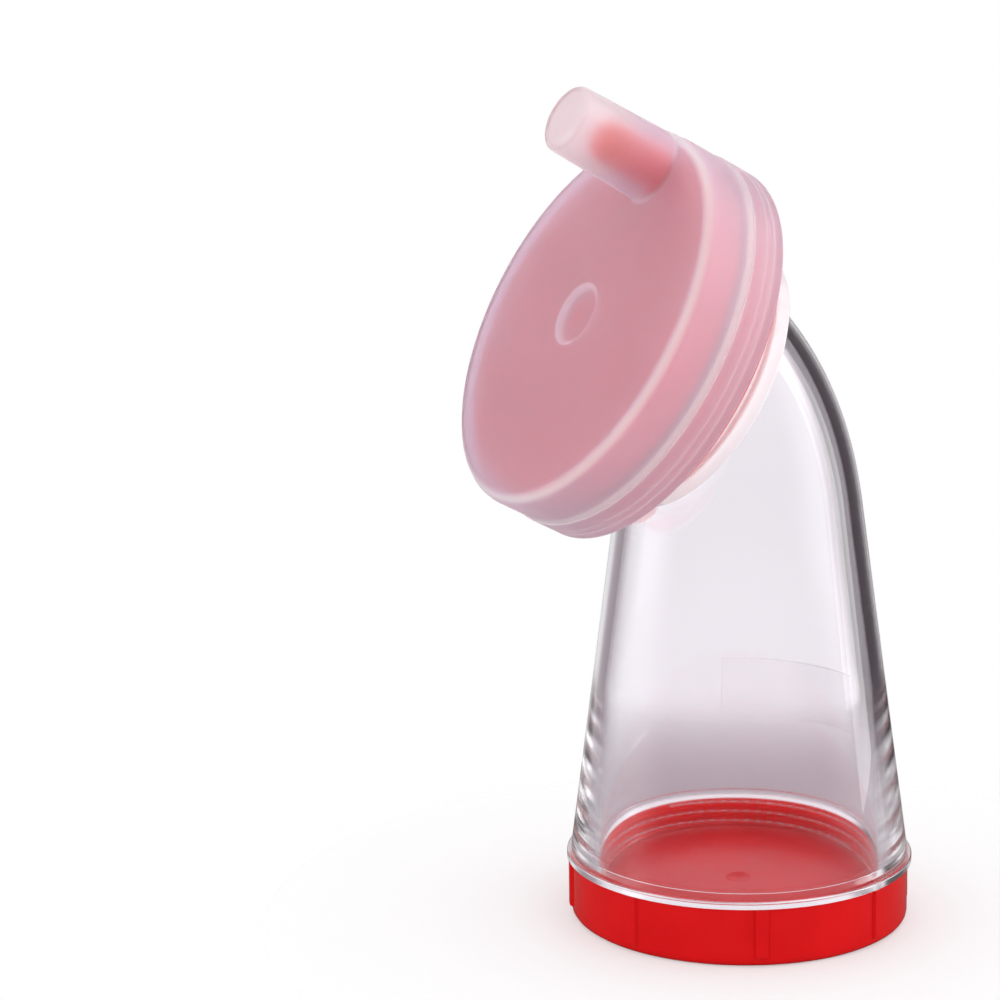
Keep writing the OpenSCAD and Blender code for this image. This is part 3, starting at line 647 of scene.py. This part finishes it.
def pale_floor(tree, place, colours):
    """Matte paper sweep: grey-white where the shadow lies, and gone before the background starts. Glossy faces and the
    clear hopper see it in darker painted shade.
    """
    away = add_node(tree, "ShaderNodeVectorMath", {0: place}, operation="LENGTH")
    path = add_node(tree, "ShaderNodeLightPath").outputs
    rim = add_node(tree, "ShaderNodeMapRange", {"Value": away, "From Min": FLOOR_FADES, "From Max": FLOOR_GONE},
                   interpolation_type="SMOOTHSTEP")
    pale = add_node(tree, "ShaderNodeMapRange", {"Value": away, "From Min": FLOOR_PALES, "From Max": FLOOR_GONE,
                                                "To Min": 0.4}, interpolation_type="SMOOTHERSTEP")
    shown = add_node(tree, "ShaderNodeMath", {0: pale, 1: path["Is Camera Ray"]}, operation="MULTIPLY")
    fade = add_node(tree, "ShaderNodeMath", {0: rim, 1: shown}, operation="MAXIMUM")
    # Painted shade: glossy faces mirror the floor, and the clear hopper shows it, in darker tones than lamps light it
    # in.
    tone = colours.floor
    for ray, other in (("Is Glossy Ray", colours.mirrored), ("Is Transmission Ray", colours.behind)):
        tone = add_node(tree, "ShaderNodeMix", {0: path[ray], 6: tone, 7: other}, data_type="RGBA")
    matte = add_node(tree, "ShaderNodeBsdfPrincipled", {"Base Color": tone, "Roughness": 0.7})
    return add_node(tree, "ShaderNodeMixShader", {0: fade, 1: matte, 2: add_node(tree, "ShaderNodeBsdfTransparent")})


def level(height, radius):
    """Section of the hopper at a height: the matrix of its circle."""
    return Matrix.Translation((0, 0, height)) @ Matrix.Diagonal((radius, radius, 1, 1))


def leaning(front, back, inset):
    """Section of the hopper whose diameter runs from a front to a back point, drawn in by inset."""
    middle, radius = (front + back) / 2, (back - front).length / 2 - inset
    along = (back - front).normalized()
    across = Vector((0, 1, 0))
    turn = Matrix((along, across, along.cross(across))).transposed().to_4x4()
    return Matrix.Translation(middle) @ turn @ Matrix.Diagonal((radius, radius, 1, 1))


def bezier(points, u):
    """Point at share u of a curve with three control points."""
    a, b, c = points
    return (1 - u) ** 2 * a + 2 * u * (1 - u) * b + u * u * c


def hopper_sections(p, inside):
    """Sections of the outer or inner wall of the cone above the flange, of the bend and of the throat."""
    hop = p.hop
    foot, inset = (p.core_z, hop.wall) if inside else (p.flange_z, 0)
    heights = [foot + (hop.bend_z - foot) * k / CONE_STEPS for k in range(CONE_STEPS)]
    rings = [level(z, p.cone_at(z) - (p.wall_at(z) if inside else 0)) for z in heights]
    r = p.cone_at(hop.bend_z)
    lean = Vector((-math.sin(hop.taper), 0, math.cos(hop.taper)))
    mirror = Vector((-lean.x, 0, lean.z))
    back = Vector((r, 0, hop.bend_z))
    front = Vector((-r, 0, hop.bend_z))
    end = p.on_axis(hop.throat_s)
    backs = (back, back + hop.bend_back * lean, end + hop.throat_r * p.up)
    fronts = (front, front + hop.bend_front * mirror, end - hop.throat_r * p.up)
    for k in range(BEND_STEPS + 1):
        u = k / BEND_STEPS
        rings.append(leaning(bezier(fronts, u), bezier(backs, u), inset))
    return rings


def on_head_axis(p, s, radius):
    """Round section of the neck at a distance along the head axis."""
    return leaning(p.on_axis(s) - radius * p.up, p.on_axis(s) + radius * p.up, 0)


class GRINDER_OT_hopper(Operator):
    """Builds the clear hopper with its thread, flange, bend, collar and neck."""

    bl_idname = "grinder.hopper"
    bl_label = "Clear hopper"

    def execute(self, context):
        p = plan(context.scene)
        hop, base = p.hop, p.base
        foot = p.floor_z + hop.skirt_gap
        throat_end = p.collar_s + hop.collar / 2
        outer = lofted([level(foot, p.skirt_r), level(base.height, p.skirt_r), level(base.height, p.flange_r),
                        level(p.flange_z, p.flange_r)] + hopper_sections(p, False)
                       + [on_head_axis(p, throat_end, hop.throat_r)], BODY_STEPS)
        round_rings(outer, [(p.flange_r, base.height, CRISP), (p.flange_r, p.flange_z, EASED)])
        collar_r, collar_end = hop.neck_r + hop.collar_step, p.collar_s + hop.collar
        neck = turned([(0, p.collar_s, 0), (collar_r, p.collar_s, 2 * SOFT), (collar_r, collar_end, 2 * SOFT),
                       (hop.neck_r, collar_end, CRISP), (hop.neck_r, p.seat_s, EASED),
                       (p.spigot_r, p.seat_s, 0), (p.spigot_r, p.spigot_end, 2 * EASED), (0, p.spigot_end, 0)],
                      BODY_STEPS, place=p.head_place)
        bore_s, bore_r = p.collar_s + hop.collar / 4, p.spigot_r - hop.spigot_wall
        inner = lofted([level(foot - base.floor, p.skirt_bore_r), level(p.core_z, p.skirt_bore_r)]
                       + hopper_sections(p, True)
                       + [on_head_axis(p, bore_s, hop.throat_r - hop.wall), on_head_axis(p, bore_s, bore_r),
                          on_head_axis(p, p.spigot_end + hop.spigot_wall, bore_r)], BODY_STEPS)
        shell = combined(combined(outer, neck, "UNION"), inner, "DIFFERENCE")
        shell = combined(shell, thread_ridge(base, p.skirt_r, 1, foot + base.thread), "UNION")
        clear = make_finish("clear_as_polished_moulding", clear_plastic, context.scene.grinder_colours, p)
        piece(shell, "hopper_shell", clear, "hopper", "clear_plastic", "hopper_body")
        return {"FINISHED"}


class GRINDER_OT_label(Operator):
    """Builds the blank clear label on the back of the hopper."""

    bl_idname = "grinder.label"
    bl_label = "Blank label"

    def execute(self, context):
        p = plan(context.scene)
        hop = p.hop
        lift = hop.label / 4
        bm = bmesh.new()
        ends = [bm.verts.new(Matrix.Rotation(hop.label_start, 3, "Z") @ Vector((p.cone_at(z) + lift, 0, z)))
                for z in (hop.label_foot, hop.label_top)]
        edge = bm.edges.new(ends)
        bmesh.ops.spin(bm, geom=ends + [edge], cent=(0, 0, 0), axis=(0, 0, 1), angle=hop.label_sweep,
                       steps=LABEL_STEPS)
        corners = [v for v in bm.verts if len(v.link_edges) == 2]
        bmesh.ops.bevel(bm, geom=corners, offset=2 * SOFT, segments=ROUND_STEPS, profile=0.5, affect="VERTICES",
                        material=-1)
        bmesh.ops.recalc_face_normals(bm, faces=bm.faces)
        bmesh.ops.solidify(bm, geom=bm.faces[:], thickness=-hop.label)
        bmesh.ops.recalc_face_normals(bm, faces=bm.faces)
        film = make_finish("clear_polypropylene_label_film", label_film, context.scene.grinder_colours, hop)
        piece(bm, "blank_label", film, "hopper", "clear_plastic")
        return {"FINISHED"}


class GRINDER_OT_base(Operator):
    """Builds the red screw base with its grip ribs, inner thread, gate mark and ribbed foot."""

    bl_idname = "grinder.base"
    bl_label = "Screw base"

    def execute(self, context):
        p = plan(context.scene)
        base, colours = p.base, context.scene.grinder_colours
        steps = base.grips * GRIP_STEPS
        foot_in = p.wall_r - base.foot
        edge, rim = 0.3 * MM, base.height - AIR
        cap = turned([(0, base.rise, 0), (foot_in, base.rise, edge), (foot_in, 0, edge), (p.wall_r, 0, base.foot_round),
                      (p.wall_r, base.grip_foot, 0), (p.wall_r, rim - edge, 0), (p.wall_r, rim, 0),
                      (p.bore_r, rim, edge), (p.bore_r, p.floor_z, edge), (0, p.floor_z, 0)], steps)
        half = base.grip / 2 / p.wall_r
        for k in range(base.grips):
            turn = base.grip_turn + FULL_TURN * k / base.grips
            faces = [f for f in cap.faces if self.on_rib(f, p, turn, half)]
            bmesh.ops.inset_region(cap, faces=faces, thickness=SOFT, depth=base.grip_proud,
                                   use_even_offset=True, use_boundary=True)
        for k in range(base.foot_ribs // 2):
            turn = Matrix.Rotation(FULL_TURN * k / base.foot_ribs, 4, "Z")
            size = (2 * foot_in + base.foot / 2, base.foot_rib, base.rise)
            cap = combined(cap, bar(size, turn @ Matrix.Translation((0, 0, base.rise / 2 + WELD))), "UNION")
        hub = turned([(0, WELD, 0), (base.foot_hub, WELD, edge), (base.foot_hub, p.floor_z - base.floor / 2, 0),
                      (0, p.floor_z - base.floor / 2, 0)], PEG_STEPS)
        cap = combined(cap, hub, "UNION")
        dish = [(base.gate * u, p.floor_z - 2 * edge * (1 - u ** 2), 0)
                for u in (k / DISH_STEPS for k in range(DISH_STEPS + 1))]
        gate = turned(dish + [(base.gate, p.floor_z + edge, 0), (0, p.floor_z + edge, 0)], PEG_STEPS)
        cap = combined(cap, gate, "DIFFERENCE")
        cap = combined(cap, thread_ridge(base, p.bore_r, -1, p.floor_z + base.pitch / 2 + base.thread), "UNION")
        # The cup carries painted light: a lighter red for the inner wall in place of light shining through it.
        cup = (p.bore_r, p.floor_z, colours.painted_glow)
        red = make_finish("red_polystyrene_gloss_moulding", red_plastic, colours.red, cup)
        piece(cap, "screw_base", red, "base", "red_plastic", "base_cap")
        return {"FINISHED"}

    @staticmethod
    def on_rib(face, p, turn, half):
        """Whether a face of the outer wall belongs to the grip rib at that turn."""
        c = face.calc_center_median()
        away = (math.atan2(c.y, c.x) - turn + math.pi) % FULL_TURN - math.pi
        return abs(c.xy.length - p.wall_r) < NEAR_WALL and abs(away) < half and p.base.grip_foot < c.z < p.base.height


class GRINDER_OT_head(Operator):
    """Builds the red burr housing, crank plate and knob."""

    bl_idname = "grinder.head"
    bl_label = "Burr head"

    def execute(self, context):
        p = plan(context.scene)
        head = p.head
        red = make_finish("scarlet_polystyrene_gloss_moulding", red_plastic, context.scene.grinder_colours.scarlet)
        ring_in = p.housing_r - head.wall
        stop_top = p.seat_s + head.stop
        housing = turned([(p.spigot_r, p.seat_s, SOFT), (p.stop_r, p.seat_s, SOFT), (p.stop_r, stop_top, SOFT),
                          (p.housing_r, stop_top, 0), (p.housing_r, p.lip_s, SOFT), (ring_in, p.lip_s, SOFT),
                          (ring_in, p.burr_s, 0), (head.eye, p.burr_s, SOFT), (head.eye, p.plate_s, SOFT),
                          (p.spigot_r, p.plate_s, 0)], RIM_STEPS, closed=True, place=p.head_place)
        spoke_long = head.eye - head.bush + SOFT
        for k in range(head.spokes):
            turn = p.head_place @ Matrix.Rotation(FULL_TURN * (k + 0.5) / head.spokes, 4, "Z")
            place = turn @ Matrix.Translation(((head.eye + head.bush) / 2 + SOFT, 0, p.plate_s + head.plate / 2))
            housing = combined(housing, bar((spoke_long, head.spoke, head.plate - SOFT), place), "UNION")
        hub = turned([(head.bush, p.hub_s, SOFT), (head.hub, p.hub_s, SOFT), (head.hub, p.lip_s, SOFT),
                      (head.bush, p.lip_s, 0)], PEG_STEPS, closed=True, place=p.head_place)
        housing = combined(housing, hub, "UNION")
        piece(housing, "burr_head_housing", red, "hopper", "red_plastic", "burr_housing")
        skirt_in, skirt_s = p.crank_r - head.crank_wall, p.lip_s + head.slit
        head_top = p.face_s - head.bolt_skin
        head_s = head_top - head.bolt_head
        crank = turned([(0, head_top, 0), (head.bolt, head_top, 0), (head.bolt, head_s, 0), (head.bolt_hole, head_s, 0),
                        (head.bolt_hole, p.crank_s, 0), (skirt_in, p.crank_s, SOFT), (skirt_in, skirt_s, SOFT),
                        (p.crank_r, skirt_s, SOFT), (p.crank_r, p.face_s, head.crank_round), (0, p.face_s, 0)],
                       RIM_STEPS, place=p.head_place)
        piece(crank, "crank_plate", red, "crank", "red_plastic", "crank_disc")
        top = p.knob_s + head.knob_height
        bore_top = top - head.pin_cap
        knob = turned([(0, bore_top, 0), (head.pin, bore_top, 0), (head.pin, p.knob_s, SOFT),
                       (head.knob, p.knob_s, 2 * SOFT), (head.knob - head.knob_taper, top, head.knob_round),
                       (0, top, 0)], PEG_STEPS, place=p.knob_place)
        piece(knob, "knob_grip", red, "knob", "red_plastic", "crank_knob")
        return {"FINISHED"}


class GRINDER_OT_cover(Operator):
    """Builds the frosted dust cover with its rim band, dimple and hollow peg."""

    bl_idname = "grinder.cover"
    bl_label = "Dust cover"

    def execute(self, context):
        p = plan(context.scene)
        cover = p.cover
        rim, face = p.rim_s, p.cover_face_s
        band_r = cover.radius + cover.band_proud
        groove_r = band_r - cover.groove
        grooves = [point for s in (rim + cover.groove_low, rim + cover.groove_high) for point in
                   ((band_r, s, 0), (groove_r, s + SOFT, 0), (groove_r, s + 2 * SOFT, 0), (band_r, s + 3 * SOFT, 0))]
        ball = (cover.dimple ** 2 + cover.dimple_depth ** 2) / (2 * cover.dimple_depth)
        middle = face + ball - cover.dimple_depth
        hollow = [(cover.dimple * u, face - cover.dimple_depth * (1 - u ** DIMPLE_POWER), 0)
                  for u in (0.97, 0.93, 0.88, 0.82, 0.75, 0.65, 0.5, 0.3, 0)]
        under = ball + cover.wall - cover.dimple_depth + cover.dimple_bump
        bump_r = math.sqrt(under ** 2 - (middle - p.cover_in_s) ** 2)
        bump = [(r, middle - math.sqrt(under ** 2 - r ** 2), 0)
                for r in (bump_r * k / DISH_STEPS for k in range(DISH_STEPS - 1, -1, -1))]
        cup = turned([(0, rim, 0), (band_r, rim, SOFT)] + grooves
                     + [(band_r, rim + cover.band, FINE), (cover.radius, rim + cover.band, 0),
                        (cover.radius, face, cover.edge), (cover.dimple, face, SOFT)] + hollow,
                     RIM_STEPS, place=p.head_place)
        tip_r = p.peg_r - cover.peg_taper
        fillet = cover.peg_fillet
        curve = [(p.peg_r + fillet * (1 - math.sin(t)), face + fillet * (1 - math.cos(t)), 0)
                 for t in (math.pi / 2 * k / ROUND_STEPS for k in range(ROUND_STEPS + 1))]
        peg = turned([(0, p.cover_in_s, 0), (p.peg_r + fillet, p.cover_in_s, 0)] + curve
                     + [(tip_r, p.peg_top_s, cover.peg_round), (0, p.peg_top_s, 0)], PEG_STEPS, place=p.knob_place)
        bound = turned([(0, rim, 0), (cover.radius - SOFT, rim, 0), (cover.radius - SOFT, p.peg_top_s + SOFT, 0),
                        (0, p.peg_top_s + SOFT, 0)], RIM_STEPS, place=p.head_place)
        peg = combined(peg, bound, "INTERSECT")
        inside = turned([(0, rim - cover.wall, 0), (cover.radius - cover.wall, rim - cover.wall, 0),
                         (cover.radius - cover.wall, p.cover_in_s, cover.edge - cover.wall),
                         (bump_r, p.cover_in_s, 0)] + bump, RIM_STEPS, place=p.head_place)
        room = turned([(0, p.cover_in_s - SOFT, 0), (p.peg_r - cover.peg_wall, p.cover_in_s - SOFT, 0),
                       (tip_r - cover.peg_wall, p.peg_top_s - cover.peg_wall, cover.peg_round - cover.peg_wall),
                       (0, p.peg_top_s - cover.peg_wall, 0)], PEG_STEPS, place=p.knob_place)
        shell = combined(cup, peg, "UNION")
        shell = combined(shell, inside, "DIFFERENCE")
        shell = combined(shell, room, "DIFFERENCE")
        frosted = make_finish("milky_polyethylene_soft_moulding", frosted_plastic, context.scene.grinder_colours, p)
        piece(shell, "dust_cover", frosted, "cover", "frosted_plastic", "cover_cap")
        return {"FINISHED"}


class GRINDER_OT_works(Operator):
    """Builds the smooth spring and gives the other hidden works their finishes."""

    bl_idname = "grinder.works"
    bl_label = "Hidden works"

    def execute(self, context):
        p = plan(context.scene)
        head, colours = p.head, context.scene.grinder_colours
        bright = make_finish("bright_turned_steel", steel, colours, p.head_place)
        pale = make_finish("natural_acetal_moulding", acetal, colours)
        pitch = (head.coil_length - 2 * head.wire) / head.coil_turns
        wire = bmesh.new()
        turn = Matrix.Translation((head.coil, 0, p.spring_s + head.wire)) @ Matrix.Rotation(math.pi / 2, 4, "X")
        bmesh.ops.create_circle(wire, cap_ends=True, segments=WIRE_STEPS, radius=head.wire, matrix=turn)
        coil = coiled(wire, head.coil_turns, COIL_STEPS, pitch)
        bmesh.ops.transform(coil, matrix=p.head_place, verts=coil.verts)
        piece(coil, "pressure_coil", bright, "crank", "steel", "pressure_spring")
        finishes = {bright: ("drive_bolt", "spring_washer", "lock_nut", "knob_pin"),
                    pale: ("hub_bush", "fixed_burr", "turning_burr", "thrust_washer")}
        for material, names in finishes.items():
            for name in names:
                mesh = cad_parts[name].data
                mesh.materials.clear()
                mesh.materials.append(material)
        return {"FINISHED"}


class GRINDER_OT_stage(Operator):
    """Sets up the floor, the studio light and the camera."""

    bl_idname = "grinder.stage"
    bl_label = "Studio stage"

    def execute(self, context):
        scene, stage = context.scene, context.scene.grinder_stage
        scene.view_settings.view_transform = "Standard"
        # Light runs far along inside the thick clear foot before it leaves.
        scene.cycles.max_bounces, scene.cycles.glossy_bounces, scene.cycles.transmission_bounces = 32, 24, 24
        self.floor(scene, stage)
        self.world(scene, stage)
        look = self.camera(scene, stage)
        # Name, brightness, size, turn to the left of the camera, distance, height, and whether shiny faces show it.
        for lamp in (("left_softbox", stage.key, (1.3, 1.0), 73, 0.9, 0.35, False),
                     ("right_softbox", stage.side, (0.3, 0.6), -104, 0.9, 0.2, True),
                     ("top_softbox", stage.top, (0.8, 0.8), -60, 0.6, 0.8, True),
                     ("low_fill", stage.fill, (0.5, 0.12), -30, 0.6, 0.07, False)):
            self.softbox(scene, look, *lamp)
        return {"FINISHED"}

    @staticmethod
    def floor(scene, stage):
        """Pale disc that fades to the white background away from the object and keeps the shadow near it."""
        bm = bmesh.new()
        bmesh.ops.create_circle(bm, cap_ends=True, segments=FLOOR_STEPS, radius=stage.floor_r)
        mesh = bpy.data.meshes.new("studio_floor")
        bm.to_mesh(mesh)
        bm.free()
        made = bpy.data.objects.new("studio_floor", mesh)
        scene.collection.objects.link(made)
        mesh.materials.append(make_finish("pale_matte_floor", pale_floor, scene.grinder_colours))

    @staticmethod
    def world(scene, stage):
        """White background for the camera and even soft light; shiny and clear faces also see the dark flats."""
        world = bpy.data.worlds.new("studio")
        scene.world = world
        world.use_nodes = True
        tree = world.node_tree
        tree.nodes.clear()
        colours = scene.grinder_colours
        way = add_node(tree, "ShaderNodeTexCoord").outputs["Generated"]
        low = add_node(tree, "ShaderNodeVectorMath", {0: way, 1: FLAT_HEIGHTS}, operation="MULTIPLY")
        unit = add_node(tree, "ShaderNodeVectorMath", {0: low}, operation="NORMALIZE")
        flats = 1.0
        for turn, inner, outer, darkest in FLATS:
            a = stage.azimuth - math.radians(turn)
            aim = Vector((math.sin(a), -math.cos(a), FLAT_DIP)).normalized()
            toward = add_node(tree, "ShaderNodeVectorMath", {0: unit, 1: aim}, operation="DOT_PRODUCT")
            left = add_node(tree, "ShaderNodeMapRange", {
                "Value": toward, "From Min": math.cos(math.radians(outer)), "From Max": math.cos(math.radians(inner)),
                "To Min": 1.0, "To Max": darkest}, interpolation_type="SMOOTHSTEP")
            flats = add_node(tree, "ShaderNodeMath", {0: flats, 1: left}, operation="MULTIPLY")
        path = add_node(tree, "ShaderNodeLightPath").outputs
        through = path["Is Transmission Ray"]
        shiny = add_node(tree, "ShaderNodeMath", {0: path["Is Glossy Ray"], 1: through}, operation="MAXIMUM")
        direct = add_node(tree, "ShaderNodeMath", {0: shiny, 1: path["Diffuse Depth"]}, operation="SUBTRACT",
                          use_clamp=True)
        surroundings = add_node(tree, "ShaderNodeMapRange", {"Value": through, "To Min": stage.mirrored, "To Max": 1.0})
        mirrored = add_node(tree, "ShaderNodeMath", {0: flats, 1: surroundings}, operation="MULTIPLY")
        strength = add_node(tree, "ShaderNodeMapRange", {"Value": direct, "To Min": stage.ambient, "To Max": mirrored})
        open_light = add_node(tree, "ShaderNodeMapRange", {"Value": direct, "To Min": 1.0, "To Max": flats})
        tone = add_node(tree, "ShaderNodeMix", {0: open_light, 6: colours.flats, 7: colours.white}, data_type="RGBA")
        light = add_node(tree, "ShaderNodeBackground", {"Color": tone, "Strength": strength})
        white = add_node(tree, "ShaderNodeBackground", {"Color": colours.white, "Strength": 1.0})
        mixed = add_node(tree, "ShaderNodeMixShader", {0: path["Is Camera Ray"], 1: light, 2: white})
        add_node(tree, "ShaderNodeOutputWorld", {"Surface": mixed})

    @staticmethod
    def camera(scene, stage):
        """Camera at the photograph's place; returns the level direction from the object to it."""
        a, e = stage.azimuth, stage.elevation
        back = Vector((math.sin(a) * math.cos(e), -math.cos(a) * math.cos(e), math.sin(e)))
        right = Vector((math.cos(a), math.sin(a), 0))
        turn = Matrix((right, back.cross(right), back)).transposed()
        turn = turn @ Matrix.Rotation(stage.roll, 3, "Z")
        data = bpy.data.cameras.new("camera")
        data.lens, data.sensor_width = stage.lens, 36
        data.clip_start, data.clip_end = 0.01, 10
        made = bpy.data.objects.new("camera", data)
        made.matrix_world = Matrix.Translation(stage.eye) @ turn.to_4x4()
        scene.collection.objects.link(made)
        scene.camera = made
        return Vector((stage.eye[0], stage.eye[1], 0)).normalized()

    @staticmethod
    def softbox(scene, look, name, brightness, size, turn, distance, height, mirrored):
        """Upright area light at a turn to the left of the camera, aimed at the object."""
        way = Matrix.Rotation(math.radians(-turn), 3, "Z") @ look
        data = bpy.data.lights.new(name, "AREA")
        data.shape, (data.size, data.size_y) = "RECTANGLE", size
        data.energy = brightness * math.pi * size[0] * size[1]
        made = bpy.data.objects.new(name, data)
        place, middle = way * distance + Vector((0, 0, height)), Vector((0, 0, LAMP_AIM))
        made.matrix_world = Matrix.Translation(place) @ (middle - place).to_track_quat("-Z", "Y").to_matrix().to_4x4()
        made.visible_glossy = made.visible_transmission = mirrored
        scene.collection.objects.link(made)


class GRINDER_PT_build(Panel):
    """Lists the steps that build the grinder."""

    bl_label = "Seed grinder"
    bl_idname = "GRINDER_PT_build"
    bl_space_type = "VIEW_3D"
    bl_region_type = "UI"
    bl_category = "Grinder"

    def draw(self, context):
        for step in STEPS:
            self.layout.operator(step.bl_idname)
        for name in GROUPS:
            group = getattr(context.scene, name)
            box = self.layout.box()
            for key in group.bl_rna.properties.keys():
                if key not in ("rna_type", "name"):
                    box.prop(group, key)


STEPS = (GRINDER_OT_hopper, GRINDER_OT_label, GRINDER_OT_base, GRINDER_OT_head, GRINDER_OT_cover,
         GRINDER_OT_works, GRINDER_OT_stage)


def register():
    """Registers the size groups, the steps and the panel."""
    for name, group in GROUPS.items():
        bpy.utils.register_class(group)
        setattr(bpy.types.Scene, name, PointerProperty(type=group))
    for cls in (*STEPS, GRINDER_PT_build):
        bpy.utils.register_class(cls)


def unregister():
    """Takes back what register() added."""
    for cls in (GRINDER_PT_build, *reversed(STEPS)):
        bpy.utils.unregister_class(cls)
    for name, group in reversed(GROUPS.items()):
        delattr(bpy.types.Scene, name)
        bpy.utils.unregister_class(group)


def main():
    """Builds everything in order."""
    register()
    for step in STEPS:
        group, name = step.bl_idname.split(".")
        getattr(getattr(bpy.ops, group), name)()


if __name__ == "__main__":
    main()
